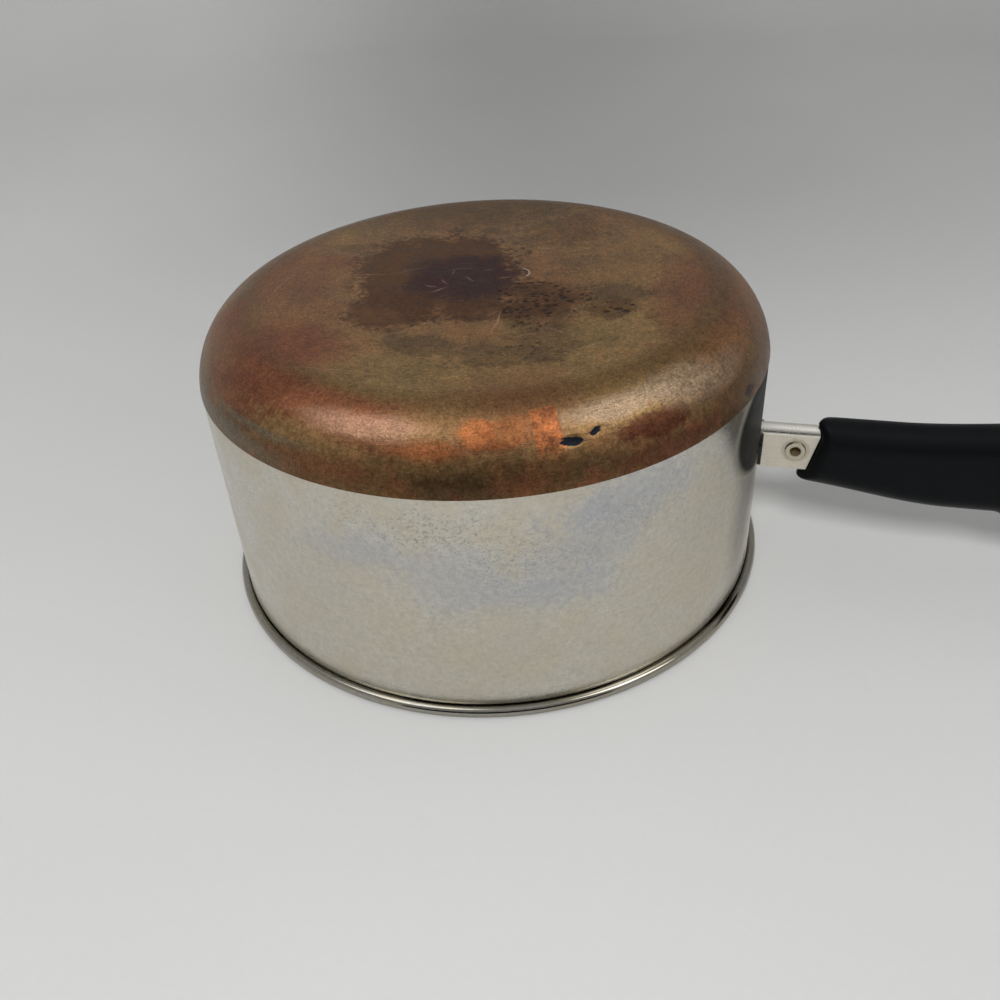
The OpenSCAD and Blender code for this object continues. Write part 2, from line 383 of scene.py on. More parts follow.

# Stains on the rounded corner, with painted highlights among them: azimuth and corner angle in degrees,
# then as above.
CORNER_STAINS_AND_HIGHLIGHTS = (
    (-165, 62, 34, 22, 0, 0.4, 0.6, RED_BROWN),
    (-128, 62, 24, 18, 0, 0.4, 0.8, RED_BROWN),
    (-148, 40, 12, 9, 0, 0.4, 0.6, RED_BROWN),
    (-136, 30, 13, 3, 5, 0.6, 0.5, GREY_GREEN),
    (-150, 16, 20, 7, 0, 0.5, 0.5, GREY_GREEN),
    # Partly a painted highlight, partly less tarnished copper.
    (-114, 54, 12, 9, 0, 0.5, 0.6, PALE_COPPER),
    (-101, 42, 18, 6, 0, 0.5, 0.6, RED_BROWN),
    (-101, 40, 5, 7, 0, 0.6, 0.6, ORANGE),
    (-92, 53, 3.2, 11, 0, 0.2, 0.75, BRIGHT_ORANGE),
    (-86.5, 52, 4.5, 12, 0, 0.3, 0.55, ORANGE),
    (-60, 35, 7, 9, 0, 0.4, 0.85, WINE),
    (-58, 16, 12, 8, 0, 0.5, 0.5, WINE),
    (-96, 14, 8, 10, 0, 0.5, 0.4, SOOT),
    (-120, 22, 10, 7, 0, 0.6, 0.4, RED_BROWN),
    (-84, 16, 3, 12, 0, 0.5, 0.5, RED_BROWN),
    # The next two spots are painted highlights.
    (-64, 56, 12, 8, 0, 0.5, 0.7, KHAKI_AND_HIGHLIGHT),
    (-50, 54, 8, 12, 0, 0.5, 0.6, KHAKI_AND_HIGHLIGHT),
    (-36, 36, 10, 14, 0, 0.4, 0.5, BURNT_AND_DARK_REFLECTION),
    (-30, 56, 14, 16, 0, 0.5, 0.5, RED_BROWN),
    (-42, 44, 10, 10, 0, 0.6, 0.5, KHAKI_AND_HIGHLIGHT),
    (-35, 16, 2, 5, 10, 0.4, 0.9, SOOT),
)

# Light upright patch with straight sides: azimuth and corner angle, low and high.
PATCH = (-82.5, -77.0, 27.0, 68.0)

# Scratches across the base: x, y, half length, half width, turn, share.
BASE_SCRATCHES = (
    (-40, 12, 9, 0.2, -6, 0.35), (-25, 13, 6, 0.18, 14, 0.35), (-12, 1, 2.6, 0.3, -64, 0.4),
    (-9, 8, 2.2, 0.25, 70, 0.35), (-3, 2, 2.5, 0.3, -50, 0.4), (3, 9, 2, 0.25, 20, 0.35),
    (-6, 11, 5, 0.2, 4, 0.3), (-14, -5, 2.6, 0.35, 24, 0.4), (-17, -2, 2, 0.35, -40, 0.35),
    (9, 1, 2.2, 0.35, 12, 0.4), (13, -3, 2, 0.3, -8, 0.4), (5, -33, 6, 0.3, 76, 0.6),
    (4, -27, 2.5, 0.25, 50, 0.45), (18, -36, 4, 0.22, 30, 0.45), (23, -41, 3.5, 0.22, -40, 0.4),
    (27, -34, 3, 0.22, 60, 0.4), (14, -43, 4, 0.22, 15, 0.4), (31, -29, 2.5, 0.22, -65, 0.35),
    (34, -52, 12, 0.2, 30, 0.25), (-44, -58, 16, 0.2, -18, 0.25), (-70, 8, 12, 0.2, 70, 0.25),
)

# Scratches all over: turn, length, width, low and high threshold of the noise, seed.
COPPER_SCRATCHES = ((12, 14, 0.18, 0.69, 0.76, 11), (-25, 10, 0.16, 0.70, 0.77, 12),
                    (68, 8, 0.16, 0.70, 0.77, 13), (-70, 12, 0.18, 0.70, 0.77, 14))

# Chips in the copper: azimuth and corner angle, half sizes, turn.
CHIPS = ((-76.0, 39.8, 2.0, 3.2, 12), (-71.4, 43, 0.9, 2.6, -20))


def copper_fields(paint):
    """Coordinates and noise that the copper's colour, roughness and relief share."""
    f = SimpleNamespace()
    f.azimuth, f.radius, f.height = round_coords(paint)
    slope = paint.math("ARCTAN2", paint.minus(f.height, CORNER_Z), paint.minus(f.radius, CORNER_X))
    f.slope = paint.times(slope, math.degrees(1))
    f.ring = paint.join(f.azimuth, f.slope)
    f.on_base = paint.step(f.radius, CORNER_X + 8, CORNER_X - 2)
    f.off_base = paint.minus(1.0, f.on_base)
    f.torn = paint.warp(paint.warp(paint.where, 16, 7, seed=1), 3, 1.8, seed=2)
    f.torn_ring = paint.warp(paint.warp(f.ring, 12, 5, seed=3), 2.2, 1.4, seed=4)
    f.cloudy = paint.noise(9, detail=6, rough=0.65, seed=6)
    f.speckle = paint.noise(2.2, detail=5, rough=0.75, seed=7)
    f.grain = paint.noise(0.7, detail=3, rough=0.7, seed=8)
    brushed = paint.join(paint.times(f.azimuth, 0.45), paint.times(f.radius, 2.2),
                         paint.times(f.height, 2.2))
    f.turned = paint.noise(1.0, detail=4, rough=0.7, where=brushed, seed=10)
    f.ragged = paint.plus(paint.times(paint.minus(f.cloudy, 0.5), 0.9), paint.minus(f.speckle, 0.5))
    return f


def base_tarnish_and_bend_reflection(paint, f):
    """Olive and brown copper with the base's stains and a painted dark reflection ring where the base
    bends.
    """
    broad = paint.noise(45, detail=3, seed=5)
    colour = paint.mix(paint.step(broad, 0.35, 0.65), OLIVE, WARM)
    colour = paint.mix(paint.step(f.cloudy, 0.52, 0.75, 0.0, 0.5), colour, RED_BROWN)
    colour = paint.mix(paint.step(f.speckle, 0.55, 0.72, 0.0, 0.4), colour, DARK_OLIVE)
    for x, y, rx, ry, turn, edge, share, tint in BASE_STAINS:
        here = paint.spot(f.torn, x, y, rx, ry, turn, edge, f.ragged)
        colour = paint.mix(paint.times(here, share, f.on_base), colour, tint)
    # Painted reflection: a darker ring where the flat base bends into the corner.
    from_bend = paint.math("ABSOLUTE", paint.minus(f.radius, CORNER_X + 6))
    ring = paint.times(paint.step(from_bend, 9, 1), paint.step(f.cloudy, 0.3, 0.6, 0.15, 0.6))
    return paint.mix(ring, colour, BURNT_AND_DARK_REFLECTION)


def corner_tarnish_and_highlights(paint, f, colour):
    """Adds the darker mottled band above the copper's edge, the corner's stains and painted highlights,
    and the bright patch.
    """
    low_edge = paint.plus(paint.split(f.torn_ring)[1], paint.times(f.ragged, 14))
    low_tone = paint.mix(paint.step(f.cloudy, 0.35, 0.6), DARK_OLIVE, BURNT_AND_DARK_REFLECTION)
    ruddy = paint.step(paint.noise(6, detail=4, seed=35), 0.5, 0.68, 0.0, 0.6)
    low_tone = paint.mix(ruddy, low_tone, RED_BROWN)
    colour = paint.mix(paint.step(low_edge, 50, 16, 0.0, 0.92), colour, low_tone)
    for x, y, rx, ry, turn, edge, share, tint in CORNER_STAINS_AND_HIGHLIGHTS:
        here = paint.spot(f.torn_ring, x, y, rx, ry, turn, edge, f.ragged)
        colour = paint.mix(paint.times(here, share, f.off_base), colour, tint)
    x, y, _ = paint.split(paint.warp(f.ring, 1.5, 0.35, seed=18))
    left, right, low, high = PATCH
    patch = paint.times(paint.step(x, left, left + 0.6), paint.step(x, right, right - 0.5),
                        paint.step(y, low, low + 16), paint.step(y, high, high - 3))
    patch_tone = paint.mix(paint.step(f.speckle, 0.35, 0.6), RED_BROWN, BRIGHT_ORANGE)
    return paint.mix(paint.times(patch, 0.85), colour, patch_tone)


def copper_lightness(paint, f, colour):
    """Adds dark flecks, then the cloudy, speckled and brushed changes in lightness."""
    fleck = paint.step(paint.noise(0.9, detail=2, rough=0.6, seed=9), 0.60, 0.68)
    gathered = paint.step(paint.noise(20, detail=3, seed=19), 0.42, 0.62, 0.1, 0.65)
    colour = paint.mix(paint.times(fleck, gathered), colour, BURNT_AND_DARK_REFLECTION)
    upright = paint.join(paint.times(f.azimuth, 1.1), paint.times(f.slope, 0.10))
    runs = paint.noise(1.0, detail=3, rough=0.6, where=upright, seed=17)
    runs = paint.times(f.off_base, paint.step(runs, 0.2, 0.8, 0.92, 1.06))
    return paint.shade(colour, paint.step(f.cloudy, 0.2, 0.8, 0.72, 1.26),
                       paint.step(f.speckle, 0.2, 0.8, 0.70, 1.28),
                       paint.step(f.grain, 0.25, 0.75, 0.64, 1.34),
                       paint.step(f.turned, 0.2, 0.8, 0.82, 1.18),
                       paint.plus(f.on_base, runs),
                       paint.plus(paint.times(f.on_base, 1.02), paint.times(f.off_base, 0.90)))


def base_marks(paint, f):
    """The single scratches across the base, from 0 to 1."""
    shaken = paint.warp(paint.warp(paint.where, 6, 2.0, seed=20), 1.2, 0.35, seed=30)
    marks = [paint.times(paint.spot(shaken, x, y, rx, ry, turn, 0.5), share)
             for x, y, rx, ry, turn, share in BASE_SCRATCHES]
    return paint.times(paint.highest(*marks), f.on_base)


def chip_spots(paint, f):
    """Where the chips show their dark ground, from 0 to 1."""
    chipped = paint.warp(paint.warp(f.ring, 2.2, 1.3, seed=16), 0.7, 0.5, seed=21)
    return paint.highest(*[paint.spot(chipped, x, y, rx, ry, turn, 0.12)
                           for x, y, rx, ry, turn in CHIPS])


def copper_material():
    paint = Paint("burnt_copper")
    f = copper_fields(paint)
    colour = corner_tarnish_and_highlights(paint, f, base_tarnish_and_bend_reflection(paint, f))
    colour = copper_lightness(paint, f, colour)
    scratches = paint.times(paint.scratches(paint.where, COPPER_SCRATCHES),
                            paint.step(paint.noise(14, detail=2, seed=15), 0.40, 0.62))
    colour = paint.mix(paint.times(scratches, 0.5), colour, PALE_COPPER)
    marks = base_marks(paint, f)
    colour = paint.mix(marks, colour, PALE_COPPER)
    colour = paint.mix(paint.step(paint.attribute("pit"), 0.10, 0.55, 0.0, 0.8), colour, PIT_DARK)
    colour = paint.mix(paint.step(paint.attribute("nick"), 0.2, 0.8), colour, BRIGHT_NICK)
    colour = paint.mix(chip_spots(paint, f), colour, CHIP)
    rough = paint.plus(paint.step(f.cloudy, 0.25, 0.75, 0.31, 0.43),
                       paint.step(f.speckle, 0.3, 0.7, -0.05, 0.07))
    relief = paint.plus(paint.times(f.grain, 0.6), paint.times(f.turned, 0.9))
    relief = paint.minus(relief, paint.times(scratches, 0.4), marks)
    return paint.finish(Base_Color=colour, Metallic=0.93, Roughness=rough,
                        Normal=paint.bump(relief, 0.13))


# ---------- steel ----------

STEEL = srgb(210, 206, 195)
HAZE_BLUE = srgb(188, 190, 196)
HAZE_WARM = srgb(204, 197, 180)
PALE_MARK = srgb(232, 232, 232)
# Grime of the specks and scores, also used as painted contact shade under the bead.
GRIME_AND_CONTACT_SHADE = srgb(112, 110, 98)
# Painted dark reflection of the black grip, on the wall by the bracket and on its flanges.
GRIP_REFLECTION_DARK = srgb(14, 15, 15)
OLD_GREASE = srgb(140, 122, 84)
HOLLOW_BROWN = srgb(124, 98, 40)
# Painted highlight on the top of the bracket's rounded fold.
FOLD_HIGHLIGHT = srgb(250, 246, 236)
# Painted shade: the polished bead's colour is darkened to this share.
BEAD_PAINTED_SHADE = 0.60
BEAD_ROUGHNESS = 0.10

# Haze on the wall: azimuth, height, half sizes, turn, edge, share, colour.
WALL_STAINS = (
    (-116, 64, 9, 7, 20, 0.9, 0.6, HAZE_BLUE),
    (-98, 58, 10, 9, -10, 0.9, 0.6, HAZE_BLUE),
    (-84, 50, 12, 6, 0, 0.9, 0.6, HAZE_BLUE),
    (-76, 64, 8, 13, -15, 0.9, 0.6, HAZE_BLUE),
    (-67, 78, 12, 8, 0, 0.6, 0.6, HAZE_BLUE),
    (-50, 40, 16, 22, 0, 0.7, 0.5, HAZE_WARM),
    (-92, 30, 16, 14, 0, 0.7, 0.6, HAZE_WARM),
    (-122, 40, 16, 20, 0, 0.7, 0.4, HAZE_WARM),
)

# Dark specks on the wall: azimuth, height, half sizes, share.
WALL_SPECKS = ((-113, 79, 8, 5, 0.5), (-100, 76, 9, 8, 0.8), (-88, 66, 8, 10, 0.6),
               (-78, 62, 6, 8, 0.4), (-64, 72, 10, 8, 0.35), (-45, 60, 12, 12, 0.2))

# Painted dark reflection of the black grip on the wall round the bracket's root, where the handle is
# welded: azimuth, height, half sizes, turn, edge, share.
ROOT_GRIP_REFLECTION = ((-24, 70, 14.5, 20, 14, 0.14, 1.0), (-19, 68, 9, 17, 0, 0.2, 1.0),
             (-30, 44, 6, 28, -3, 0.8, 0.5), (-4, 66, 10, 20, 0, 0.3, 0.8))

# Pale scratches and dark scores round the wall, as in COPPER_SCRATCHES.
WALL_SCRATCHES = ((8, 12, 0.25, 0.67, 0.75, 25), (-35, 9, 0.25, 0.69, 0.77, 26),
                  (62, 8, 0.25, 0.69, 0.77, 27), (20, 5, 0.25, 0.69, 0.77, 38))
WALL_SCORES = ((-12, 9, 0.25, 0.68, 0.76, 36), (48, 7, 0.25, 0.69, 0.77, 37))


def steel_fields(paint):
    """Coordinates and noise that the shell's colour, roughness and relief share."""
    f = SimpleNamespace()
    azimuth, f.radius, f.height = round_coords(paint)
    f.around = paint.join(azimuth, f.height)
    f.torn = paint.warp(paint.warp(f.around, 14, 6, seed=21), 3, 1.5, seed=22)
    f.cloudy = paint.noise(14, detail=6, rough=0.65, seed=23)
    f.speckle = paint.noise(2.0, detail=5, rough=0.75, seed=28)
    f.grain = paint.noise(0.6, detail=3, rough=0.7, seed=24)
    f.ragged = paint.plus(paint.times(paint.minus(f.cloudy, 0.5), 1.2),
                          paint.times(paint.minus(f.speckle, 0.5), 3.2))
    return f


def wall_haze(paint, f, colour):
    """Adds the heat haze, and returns how much of it there is as well."""
    haze = 0.0
    for x, y, rx, ry, turn, edge, share, tint in WALL_STAINS:
        here = paint.times(paint.spot(f.torn, x, y, rx, ry, turn, edge, f.ragged), share)
        colour = paint.mix(here, colour, tint)
        haze = paint.plus(haze, here)
    return colour, haze


def wall_specks(paint, f):
    """Dark specks and short hairs where WALL_SPECKS gathers them, from 0 to 1."""
    hairs = paint.stretch(paint.warp(f.around, 5, 2.5, seed=39), 35, (0.35, 2.0, 2.0))
    specks = paint.step(paint.noise(0.8, detail=4, rough=0.75, seed=29), 0.53, 0.60)
    hairs = paint.step(paint.noise(1.0, detail=2, where=hairs, seed=40), 0.60, 0.68)
    gathered = [paint.times(paint.spot(f.torn, x, y, rx, ry, 0, 0.7, f.ragged), share)
                for x, y, rx, ry, share in WALL_SPECKS]
    return paint.times(paint.highest(*gathered), paint.highest(specks, hairs))


def painted_grip_reflection(paint, f):
    """Painted dark reflection of the black grip round the bracket's root, on the outside of the wall only,
    from 0 to 1.
    """
    grip_reflection = [paint.times(paint.spot(f.around, x, y, rx, ry, turn, edge), share)
            for x, y, rx, ry, turn, edge, share in ROOT_GRIP_REFLECTION]
    return paint.times(paint.highest(*grip_reflection), paint.step(f.radius, WALL_R - 0.5, WALL_R - 0.3),
                       paint.step(f.height, 4.5, 9))


def steel_material():
    paint = Paint("worn_steel")
    f = steel_fields(paint)
    colour = paint.mix(paint.step(f.cloudy, 0.40, 0.62), STEEL, HAZE_WARM)
    colour, haze = wall_haze(paint, f, colour)
    colour = paint.mix(paint.times(wall_specks(paint, f), 0.7), colour, GRIME_AND_CONTACT_SHADE)
    # The last share is painted shade that darkens the bead below BEAD_TOP.
    colour = paint.shade(colour, paint.step(f.speckle, 0.25, 0.75, 0.90, 1.08),
                         paint.step(f.grain, 0.2, 0.8, 0.90, 1.07),
                         paint.step(f.cloudy, 0.2, 0.8, 0.92, 1.06),
                         paint.step(f.height, *BEAD_TOP, BEAD_PAINTED_SHADE, 1.0))
    colour = paint.mix(paint.times(paint.scratches(f.around, WALL_SCORES), 0.5), colour, GRIME_AND_CONTACT_SHADE)
    # Painted shade: the bead's outside next to the floor is darkened as a contact shadow.
    painted_contact_shade = paint.times(paint.step(f.height, 2.2, 0.9), paint.step(f.radius, WALL_R, WALL_R + 1))
    colour = paint.mix(paint.times(painted_contact_shade, 0.6), colour, GRIME_AND_CONTACT_SHADE)
    scratches = paint.scratches(f.around, WALL_SCRATCHES)
    worn = paint.spot(f.torn, -78, 50, 26, 16, 0, 0.7, f.ragged)
    pale = paint.times(scratches, paint.step(worn, 0.0, 1.0, 0.25, 0.9))
    colour = paint.mix(pale, colour, PALE_MARK)
    # Painted reflection: the wall by the bracket's root is darkened as if it mirrored the black grip.
    grip_reflection = painted_grip_reflection(paint, f)
    colour = paint.mix(paint.times(grip_reflection, 0.97), colour, GRIP_REFLECTION_DARK)
    rough = paint.plus(paint.step(f.cloudy, 0.3, 0.7, 0.24, 0.36), paint.times(haze, 0.12),
                       paint.times(grip_reflection, 0.2))
    on_bead = paint.step(f.height, *BEAD_TOP, 1.0, 0.0)
    rough = paint.plus(paint.times(rough, paint.minus(1.0, on_bead)),
                       paint.times(on_bead, BEAD_ROUGHNESS))
    relief = paint.plus(paint.times(f.grain, 0.4), scratches)
    relief = paint.times(relief, paint.step(f.height, *BEAD_TOP, 0.15, 1.0))
    return paint.finish(Base_Color=colour, Metallic=paint.step(grip_reflection, 0.0, 1.0, 1.0, 0.0),
                        Roughness=rough, Specular_IOR_Level=0.04, Normal=paint.bump(relief, 0.02))


def plain_steel(name, tone, rough):
    """Bracket, rivet and tang steel: a painted highlight on the fold, a painted dark reflection of the
    grip on the flanges by the wall, brown in the hollow.
    """
    paint = Paint(name)
    cloudy = paint.noise(6, detail=4, seed=31)
    grain = paint.noise(0.6, detail=3, rough=0.7, seed=32)
    drawn = paint.stretch(paint.row, 0, (0.08, 2.2, 2.2))
    lines = paint.noise(1.0, detail=3, where=drawn, seed=33)
    colour = paint.shade(tone, paint.step(cloudy, 0.3, 0.7, 0.93, 1.04),
                         paint.step(lines, 0.2, 0.8, 0.95, 1.04))
    x, y, z = paint.split(paint.row)
    aside = paint.math("ABSOLUTE", y)
    # Painted highlight: the top of the fold is painted nearly white where it catches the light.
    wear_and_fold_highlight = paint.step(z, BRACKET_HIGH.z - 3.4, BRACKET_HIGH.z - 2.0)
    colour = paint.mix(wear_and_fold_highlight, colour, FOLD_HIGHLIGHT)
    from_rivet = paint.vector("LENGTH", paint.join(paint.minus(x, RIVET_X), paint.minus(z, RIVET_Z)))
    uneven = paint.step(paint.noise(1.2, detail=3, seed=34), 0, 1, -0.6, 0.6)
    uneven = paint.plus(from_rivet, uneven)
    ringed = paint.times(paint.step(uneven, 5.4, 4.2), paint.step(uneven, 3.2, 3.8))
    colour = paint.mix(paint.times(ringed, 0.35), colour, OLD_GREASE)
    residue = paint.times(paint.step(uneven, 2.6, 1.5), paint.step(aside, 2.2, 3.4, 1.0, 0.75))
    colour = paint.mix(residue, colour, HOLLOW_BROWN)
    # Painted reflection: the flanges beside the cheeks are painted dark as if they mirrored the black
    # grip.
    flange_face = BRACKET_LOW.x + FLANGE_REACH
    flange_reflection = paint.times(paint.step(aside, 3.1, 3.4), paint.step(x, flange_face, flange_face - 0.6))
    colour = paint.mix(flange_reflection, colour, GRIP_REFLECTION_DARK)
    relief = paint.plus(lines, paint.times(grain, 0.4))
    return paint.finish(Base_Color=colour,
                        Metallic=paint.step(paint.highest(flange_reflection, residue), 0.0, 1.0, 1.0, 0.2),
                        Roughness=paint.step(cloudy, 0.3, 0.7, rough, rough + 0.08),
                        Normal=paint.bump(relief, 0.015))


def plastic_material():
    paint = Paint("black_phenolic")
    cloudy = paint.noise(18, detail=4, seed=41)
    grain = paint.noise(0.9, detail=3, rough=0.7, seed=42)
    drawn = paint.stretch(paint.row, 0, (0.04, 0.8, 0.8))
    wear_and_fold_highlight = paint.noise(1.0, detail=4, where=drawn, seed=43)
    colour = paint.mix(cloudy, srgb(10, 12, 14), srgb(16, 18, 20))
    colour = paint.mix(paint.step(wear_and_fold_highlight, 0.60, 0.8, 0.0, 0.35), colour, srgb(46, 46, 50))
    return paint.finish(Base_Color=colour, Roughness=paint.step(wear_and_fold_highlight, 0.3, 0.7, 0.34, 0.46),
                        Specular_IOR_Level=0.09, Normal=paint.bump(grain, 0.02))


# ---------- pieces ----------

SEGMENTS = 360


def build_shell(material):
    """The drawn steel shell, its outline followed from the inside over the curl to the outside."""
    curl_x = WALL_R - SHEET + CURL_R
    curl_z = CURL_R - RIM_WEAR
    seam = math.degrees(math.acos((SHEET - CURL_R + SEAM) / CURL_R))
    inner_r = WALL_R - SHEET
    outer_curl = [(x, max(z, 0.0)) for x, z in arc(curl_x, curl_z, CURL_R, 180, 360 + seam, 40)]
    inner_curl = arc(curl_x, curl_z, CURL_R - SHEET, 360 + seam, 180, 24)
    inside = [(0.0, STEEL_TOP - SHEET)]
    inside += line(inside[0], (CORNER_X, STEEL_TOP - SHEET), 6)
    inside += arc(CORNER_X, CORNER_Z, CORNER_R - SHEET, 90, 0, 16)[1:]
    inside += line((inner_r, CORNER_Z), (inner_r, curl_z), 20)
    outside = inner_curl[-1:] + line(inner_curl[-1], (WALL_R, CORNER_Z), 40)
    outside += arc(CORNER_X, CORNER_Z, CORNER_R, 0, 90, 24)[1:]
    outside += line((CORNER_X, STEEL_TOP), (0.0, STEEL_TOP), 4)
    profile = inside + outer_curl[1:] + inner_curl[:-1] + outside
    place(lathe("pan_shell", profile, SEGMENTS), material, "pot_body")


# Pits in the base: centre, half sizes, how many, and the smallest and largest radius.
PIT_GROUPS = (
    (18, -13, 12, 9, 46, 0.45, 0.95),
    (25, -21, 11, 9, 34, 0.5, 1.05),
    (15, -28, 9, 8, 30, 0.45, 0.85),
    (43, -28, 8, 4, 9, 0.7, 1.3),
    (36, -18, 4, 4, 5, 0.5, 0.8),
    (16, -46, 10, 12, 26, 0.35, 0.7),
)
PIT_DEPTH = 0.2
CHIP_DEPTH = 0.3
NICK_DEPTH = 0.15
NICK = SimpleNamespace(x=13.5, y=4.5, radius=4.2, half_width=0.6, start=-48, end=62)
RING_STEP = 0.5                              # between the rings of points on the flat base
SKIN_GAP = 0.02                              # keeps the hidden underside off the steel


def build_copper(material):
    """The copper skin over the base and corner, its outer face first."""
    edge = math.degrees(COPPER_EDGE)
    rings = int(CORNER_X / RING_STEP)
    top = [(RING_STEP * k, PAN_H) for k in range(rings + 1)]
    bend = arc(CORNER_X, CORNER_Z, CORNER_OUT, 90, edge, 62)[1:]
    under = arc(CORNER_X, CORNER_Z, CORNER_R + SKIN_GAP, edge, 90, 14)
    under += [(CORNER_X / 2, STEEL_TOP + SKIN_GAP), (0.0, STEEL_TOP + SKIN_GAP)]
    profile = top + bend + under
    base = lathe("copper_skin", profile[::-1], SEGMENTS)
    mark_copper(base, edge)
    place(base, material, "copper_base")


def pit_field(x, y):
    """How deep the pits are at each point, from 0 to 1."""
    rng = np.random.default_rng(7)
    pit = np.zeros(len(x))
    for cx, cy, rx, ry, number, small, large in PIT_GROUPS:
        for _ in range(number):
            turn, reach = rng.uniform(0, 2 * math.pi), math.sqrt(rng.uniform())
            px, py = cx + rx * reach * math.cos(turn), cy + ry * reach * math.sin(turn)
            size = rng.uniform(small, large)
            longer = rng.uniform(0.8, 1.5)
            away = np.hypot((x - px) / longer, y - py) / size
            pit = np.maximum(pit, np.clip(1.3 - away, 0, 1) * rng.uniform(0.5, 1))
    return pit


def chip_field(azimuth, slope):
    """How deep the chips are at each point, from 0 to 1."""
    chip = np.zeros(len(azimuth))
    for a, t, ra, rt, turn in CHIPS:
        ct, st = math.cos(math.radians(turn)), math.sin(math.radians(turn))
        da, dt = azimuth - a, slope - t
        away = np.hypot((ct * da + st * dt) / ra, (-st * da + ct * dt) / rt)
        chip = np.maximum(chip, np.clip((1.2 - away) / 0.3, 0, 1))
    return chip


def nick_field(x, y):
    """How deep the curved nick is at each point, from 0 to 1."""
    off_curve = np.abs(np.hypot(x - NICK.x, y - NICK.y) - NICK.radius)
    bearing = np.degrees(np.arctan2(y - NICK.y, x - NICK.x))
    return np.clip(1 - off_curve / NICK.half_width, 0, 1) * ((bearing > NICK.start) & (bearing < NICK.end))


def mark_copper(base, edge):
    """Sinks the pits, the chips and the nick into the outer face and notes the pits and the nick for the
    paint.
    """
    mesh = base.data
    count = len(mesh.vertices)
    co = np.zeros(count * 3)
    mesh.vertices.foreach_get("co", co)
    co = co.reshape(-1, 3) / MM
    c, s = math.cos(HANDLE_TURN), math.sin(HANDLE_TURN)
    x = c * co[:, 0] + s * co[:, 1]
    y = -s * co[:, 0] + c * co[:, 1]
    radius = np.hypot(x, y)
    rise = co[:, 2] - CORNER_Z
    outer = np.hypot(radius - CORNER_X, rise) > CORNER_R + 0.2
    outer |= (radius < CORNER_X) & (co[:, 2] > STEEL_TOP + 0.2)
    slope = np.degrees(np.arctan2(rise, np.maximum(radius - CORNER_X, 1e-6)))
    pit, nick = pit_field(x, y), nick_field(x, y)
    chip = chip_field(np.degrees(np.arctan2(y, x)), slope)
    depth = PIT_DEPTH * pit + CHIP_DEPTH * chip + NICK_DEPTH * nick
    depth *= outer & (slope > edge + 1)
    overhang = np.maximum(radius - CORNER_X, 0.0) / np.maximum(radius, 1e-6)
    out = np.stack([overhang * co[:, 0], overhang * co[:, 1], rise], 1)
    out /= np.linalg.norm(out, axis=1, keepdims=True)
    co -= out * depth[:, None]
    mesh.vertices.foreach_set("co", (co * MM).ravel())
    for name, values in (("pit", pit * outer), ("nick", nick * outer)):
        layer = mesh.attributes.new(name, "FLOAT", "POINT")
        layer.data.foreach_set("value", values.astype(np.float32))
    mesh.update()


# The grip's outline: distances along X from the wall, heights beyond the bracket.
WALL = 100.0
GRIP_START = 19.5
GRIP_REACH = 178.0
FRONT_R = 5.0
FRONT_EDGE_R = 1.8
FRONT_DISH = 2.5
FRONT_LEAN = 14.0
COVER_TOP = 2.7
COVER_FOOT = 4.3
BELLY = 7.0
REST = 3.0
TAIL_LIFT = 6.0
TAIL_R = 16.0
HANG_R = 4.0
HANG_BACK = 15.0
BRACKET_SLOT = 3.25                          # half width of the pocket round the bracket
POCKET_GAP = 0.15


def ease(u):
    u = min(max(u, 0.0), 1.0)
    return u * u * (3 - 2 * u)


def along(x):
    return (x - WALL - GRIP_START) / (GRIP_REACH - GRIP_START)


def grip_top(x):
    return BRACKET_HIGH.z + COVER_TOP + TAIL_LIFT * ease((along(x) - 0.17) / 0.5)


def grip_foot(x):
    rest = REST * ease((along(x) - 0.39) / 0.045) * (1 - ease((along(x) - 0.59) / 0.11))
    drop = COVER_FOOT + BELLY * ease((along(x) + 0.05) / 0.34)
    return BRACKET_LOW.z - drop - rest + TAIL_LIFT * ease((along(x) - 0.6) / 0.3)


def grip_section(x, half, foot, top, shear, dish):
    """Stadium outline across the grip, leaning and dished as its front is."""
    points, steps = [], 24
    for k in range(2 * steps + 2):
        upper = k <= steps
        turn = math.radians(180 * k / steps if upper else 180 + 180 * (k - steps - 1) / steps)
        z = (top - half if upper else foot + half) + half * math.sin(turn)
        bow = dish * ((2 * z - foot - top) / (top - foot)) ** 6
        points.append((x + shear * (z - (BRACKET_LOW.z + BRACKET_HIGH.z) / 2) - bow,
                       half * math.cos(turn), z))
    return points


def round_inset(r, into):
    return r - math.sqrt(r * r - max(0.0, r - into) ** 2)


